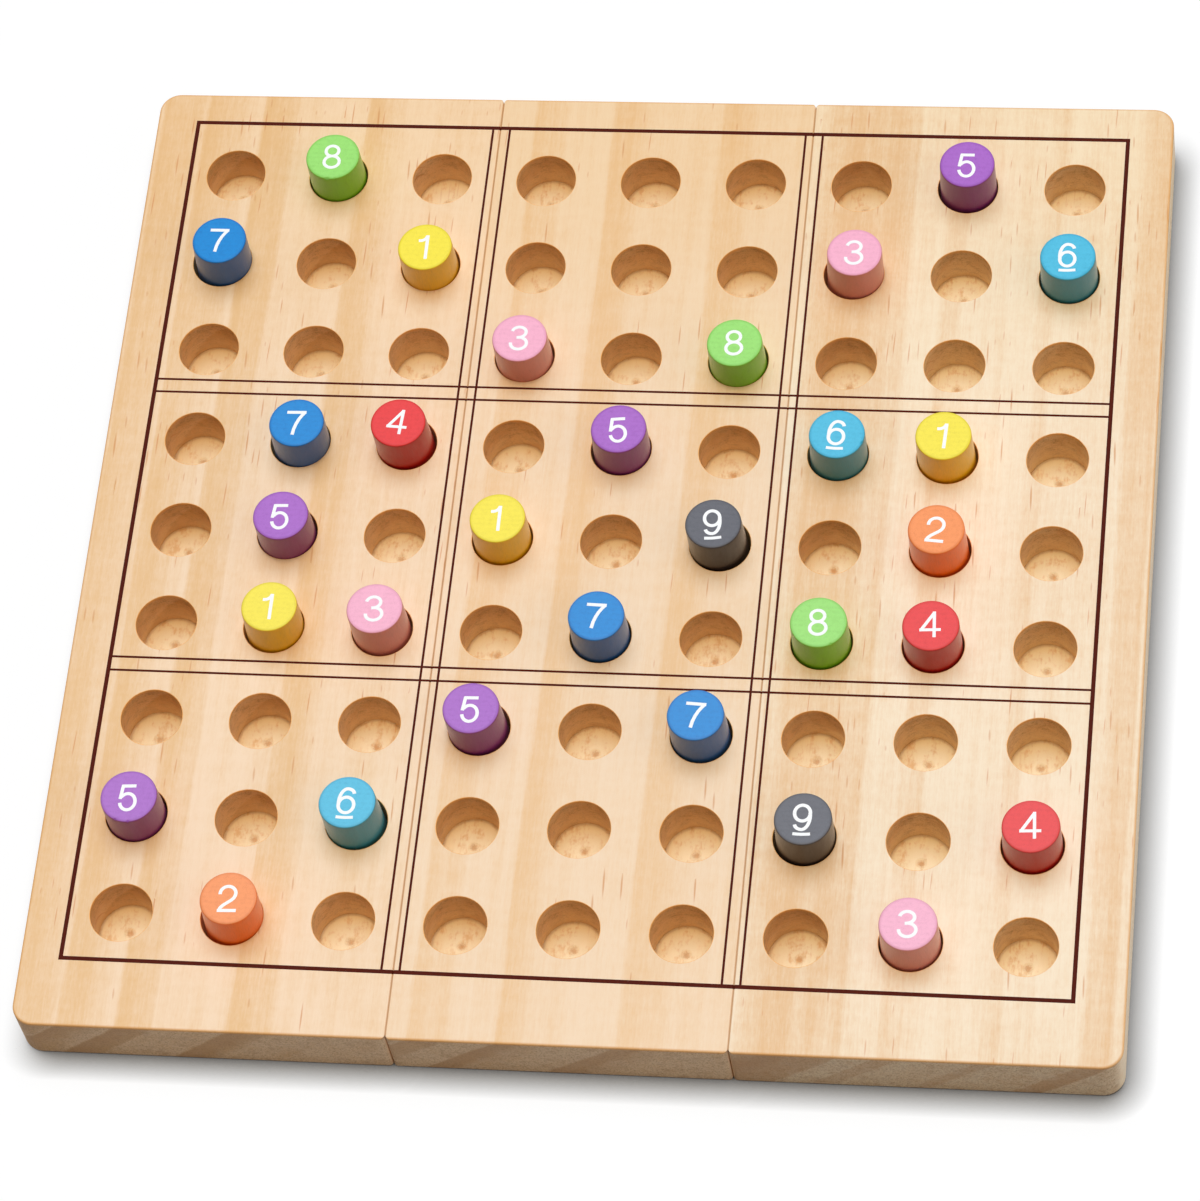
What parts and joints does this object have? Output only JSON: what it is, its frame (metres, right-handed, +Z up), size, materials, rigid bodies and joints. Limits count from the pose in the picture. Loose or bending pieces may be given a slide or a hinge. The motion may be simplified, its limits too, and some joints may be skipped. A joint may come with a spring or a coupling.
{
  "type": "sudoku board",
  "caption": "Square wooden sudoku board of glued planks with a grid of blind holes, and loose painted pegs that stand in the holes and lift out.",
  "frame": {"origin": "centre of the board's underside", "axes": "+Z up out of the holes, +Y along the grain to the back row, +X across the planks to the right"},
  "size_m": [0.2764, 0.281, 0.0265],
  "materials": {
    "pine_left": "sanded, unvarnished pine",
    "pine_middle": "sanded, unvarnished pine",
    "pine_right": "sanded, unvarnished pine",
    "beech": "raw beech",
    "paint_yellow": "wood with satin paint",
    "paint_orange": "wood with satin paint",
    "paint_pink": "wood with satin paint",
    "paint_red": "wood with satin paint",
    "paint_purple": "wood with satin paint",
    "paint_light_blue": "wood with satin paint",
    "paint_blue": "wood with satin paint",
    "paint_green": "wood with satin paint",
    "paint_grey": "wood with satin paint"
  },
  "bodies": {
    "board": {"plank_left": "pine_left", "plank_middle": "pine_middle", "plank_right": "pine_right", "dowels_left_seam": "beech", "dowels_right_seam": "beech"},
    "peg_8_row1_col2": {"peg_8_row1_col2": "paint_green"},
    "peg_5_row1_col8": {"peg_5_row1_col8": "paint_purple"},
    "peg_7_row2_col1": {"peg_7_row2_col1": "paint_blue"},
    "peg_1_row2_col3": {"peg_1_row2_col3": "paint_yellow"},
    "peg_3_row2_col7": {"peg_3_row2_col7": "paint_pink"},
    "peg_6_row2_col9": {"peg_6_row2_col9": "paint_light_blue"},
    "peg_3_row3_col4": {"peg_3_row3_col4": "paint_pink"},
    "peg_8_row3_col6": {"peg_8_row3_col6": "paint_green"},
    "peg_7_row4_col2": {"peg_7_row4_col2": "paint_blue"},
    "peg_4_row4_col3": {"peg_4_row4_col3": "paint_red"},
    "peg_5_row4_col5": {"peg_5_row4_col5": "paint_purple"},
    "peg_6_row4_col7": {"peg_6_row4_col7": "paint_light_blue"},
    "peg_1_row4_col8": {"peg_1_row4_col8": "paint_yellow"},
    "peg_5_row5_col2": {"peg_5_row5_col2": "paint_purple"},
    "peg_1_row5_col4": {"peg_1_row5_col4": "paint_yellow"},
    "peg_9_row5_col6": {"peg_9_row5_col6": "paint_grey"},
    "peg_2_row5_col8": {"peg_2_row5_col8": "paint_orange"},
    "peg_1_row6_col2": {"peg_1_row6_col2": "paint_yellow"},
    "peg_3_row6_col3": {"peg_3_row6_col3": "paint_pink"},
    "peg_7_row6_col5": {"peg_7_row6_col5": "paint_blue"},
    "peg_8_row6_col7": {"peg_8_row6_col7": "paint_green"},
    "peg_4_row6_col8": {"peg_4_row6_col8": "paint_red"},
    "peg_5_row7_col4": {"peg_5_row7_col4": "paint_purple"},
    "peg_7_row7_col6": {"peg_7_row7_col6": "paint_blue"},
    "peg_5_row8_col1": {"peg_5_row8_col1": "paint_purple"},
    "peg_6_row8_col3": {"peg_6_row8_col3": "paint_light_blue"},
    "peg_9_row8_col7": {"peg_9_row8_col7": "paint_grey"},
    "peg_4_row8_col9": {"peg_4_row8_col9": "paint_red"},
    "peg_2_row9_col2": {"peg_2_row9_col2": "paint_orange"},
    "peg_3_row9_col8": {"peg_3_row9_col8": "paint_pink"}
  },
  "joints": [
    {"name": "lift_8_row1_col2", "type": "slide", "parent": "board", "child": "peg_8_row1_col2", "axis": [0, 0, 1], "range_m": [0, 0.025]},
    {"name": "lift_5_row1_col8", "type": "slide", "parent": "board", "child": "peg_5_row1_col8", "axis": [0, 0, 1], "range_m": [0, 0.025]},
    {"name": "lift_7_row2_col1", "type": "slide", "parent": "board", "child": "peg_7_row2_col1", "axis": [0, 0, 1], "range_m": [0, 0.025]},
    {"name": "lift_1_row2_col3", "type": "slide", "parent": "board", "child": "peg_1_row2_col3", "axis": [0, 0, 1], "range_m": [0, 0.025]},
    {"name": "lift_3_row2_col7", "type": "slide", "parent": "board", "child": "peg_3_row2_col7", "axis": [0, 0, 1], "range_m": [0, 0.025]},
    {"name": "lift_6_row2_col9", "type": "slide", "parent": "board", "child": "peg_6_row2_col9", "axis": [0, 0, 1], "range_m": [0, 0.025]},
    {"name": "lift_3_row3_col4", "type": "slide", "parent": "board", "child": "peg_3_row3_col4", "axis": [0, 0, 1], "range_m": [0, 0.025]},
    {"name": "lift_8_row3_col6", "type": "slide", "parent": "board", "child": "peg_8_row3_col6", "axis": [0, 0, 1], "range_m": [0, 0.025]},
    {"name": "lift_7_row4_col2", "type": "slide", "parent": "board", "child": "peg_7_row4_col2", "axis": [0, 0, 1], "range_m": [0, 0.025]},
    {"name": "lift_4_row4_col3", "type": "slide", "parent": "board", "child": "peg_4_row4_col3", "axis": [0, 0, 1], "range_m": [0, 0.025]},
    {"name": "lift_5_row4_col5", "type": "slide", "parent": "board", "child": "peg_5_row4_col5", "axis": [0, 0, 1], "range_m": [0, 0.025]},
    {"name": "lift_6_row4_col7", "type": "slide", "parent": "board", "child": "peg_6_row4_col7", "axis": [0, 0, 1], "range_m": [0, 0.025]},
    {"name": "lift_1_row4_col8", "type": "slide", "parent": "board", "child": "peg_1_row4_col8", "axis": [0, 0, 1], "range_m": [0, 0.025]},
    {"name": "lift_5_row5_col2", "type": "slide", "parent": "board", "child": "peg_5_row5_col2", "axis": [0, 0, 1], "range_m": [0, 0.025]},
    {"name": "lift_1_row5_col4", "type": "slide", "parent": "board", "child": "peg_1_row5_col4", "axis": [0, 0, 1], "range_m": [0, 0.025]},
    {"name": "lift_9_row5_col6", "type": "slide", "parent": "board", "child": "peg_9_row5_col6", "axis": [0, 0, 1], "range_m": [0, 0.025]},
    {"name": "lift_2_row5_col8", "type": "slide", "parent": "board", "child": "peg_2_row5_col8", "axis": [0, 0, 1], "range_m": [0, 0.025]},
    {"name": "lift_1_row6_col2", "type": "slide", "parent": "board", "child": "peg_1_row6_col2", "axis": [0, 0, 1], "range_m": [0, 0.025]},
    {"name": "lift_3_row6_col3", "type": "slide", "parent": "board", "child": "peg_3_row6_col3", "axis": [0, 0, 1], "range_m": [0, 0.025]},
    {"name": "lift_7_row6_col5", "type": "slide", "parent": "board", "child": "peg_7_row6_col5", "axis": [0, 0, 1], "range_m": [0, 0.025]},
    {"name": "lift_8_row6_col7", "type": "slide", "parent": "board", "child": "peg_8_row6_col7", "axis": [0, 0, 1], "range_m": [0, 0.025]},
    {"name": "lift_4_row6_col8", "type": "slide", "parent": "board", "child": "peg_4_row6_col8", "axis": [0, 0, 1], "range_m": [0, 0.025]},
    {"name": "lift_5_row7_col4", "type": "slide", "parent": "board", "child": "peg_5_row7_col4", "axis": [0, 0, 1], "range_m": [0, 0.025]},
    {"name": "lift_7_row7_col6", "type": "slide", "parent": "board", "child": "peg_7_row7_col6", "axis": [0, 0, 1], "range_m": [0, 0.025]},
    {"name": "lift_5_row8_col1", "type": "slide", "parent": "board", "child": "peg_5_row8_col1", "axis": [0, 0, 1], "range_m": [0, 0.025]},
    {"name": "lift_6_row8_col3", "type": "slide", "parent": "board", "child": "peg_6_row8_col3", "axis": [0, 0, 1], "range_m": [0, 0.025]},
    {"name": "lift_9_row8_col7", "type": "slide", "parent": "board", "child": "peg_9_row8_col7", "axis": [0, 0, 1], "range_m": [0, 0.025]},
    {"name": "lift_4_row8_col9", "type": "slide", "parent": "board", "child": "peg_4_row8_col9", "axis": [0, 0, 1], "range_m": [0, 0.025]},
    {"name": "lift_2_row9_col2", "type": "slide", "parent": "board", "child": "peg_2_row9_col2", "axis": [0, 0, 1], "range_m": [0, 0.025]},
    {"name": "lift_3_row9_col8", "type": "slide", "parent": "board", "child": "peg_3_row9_col8", "axis": [0, 0, 1], "range_m": [0, 0.025]}
  ]
}
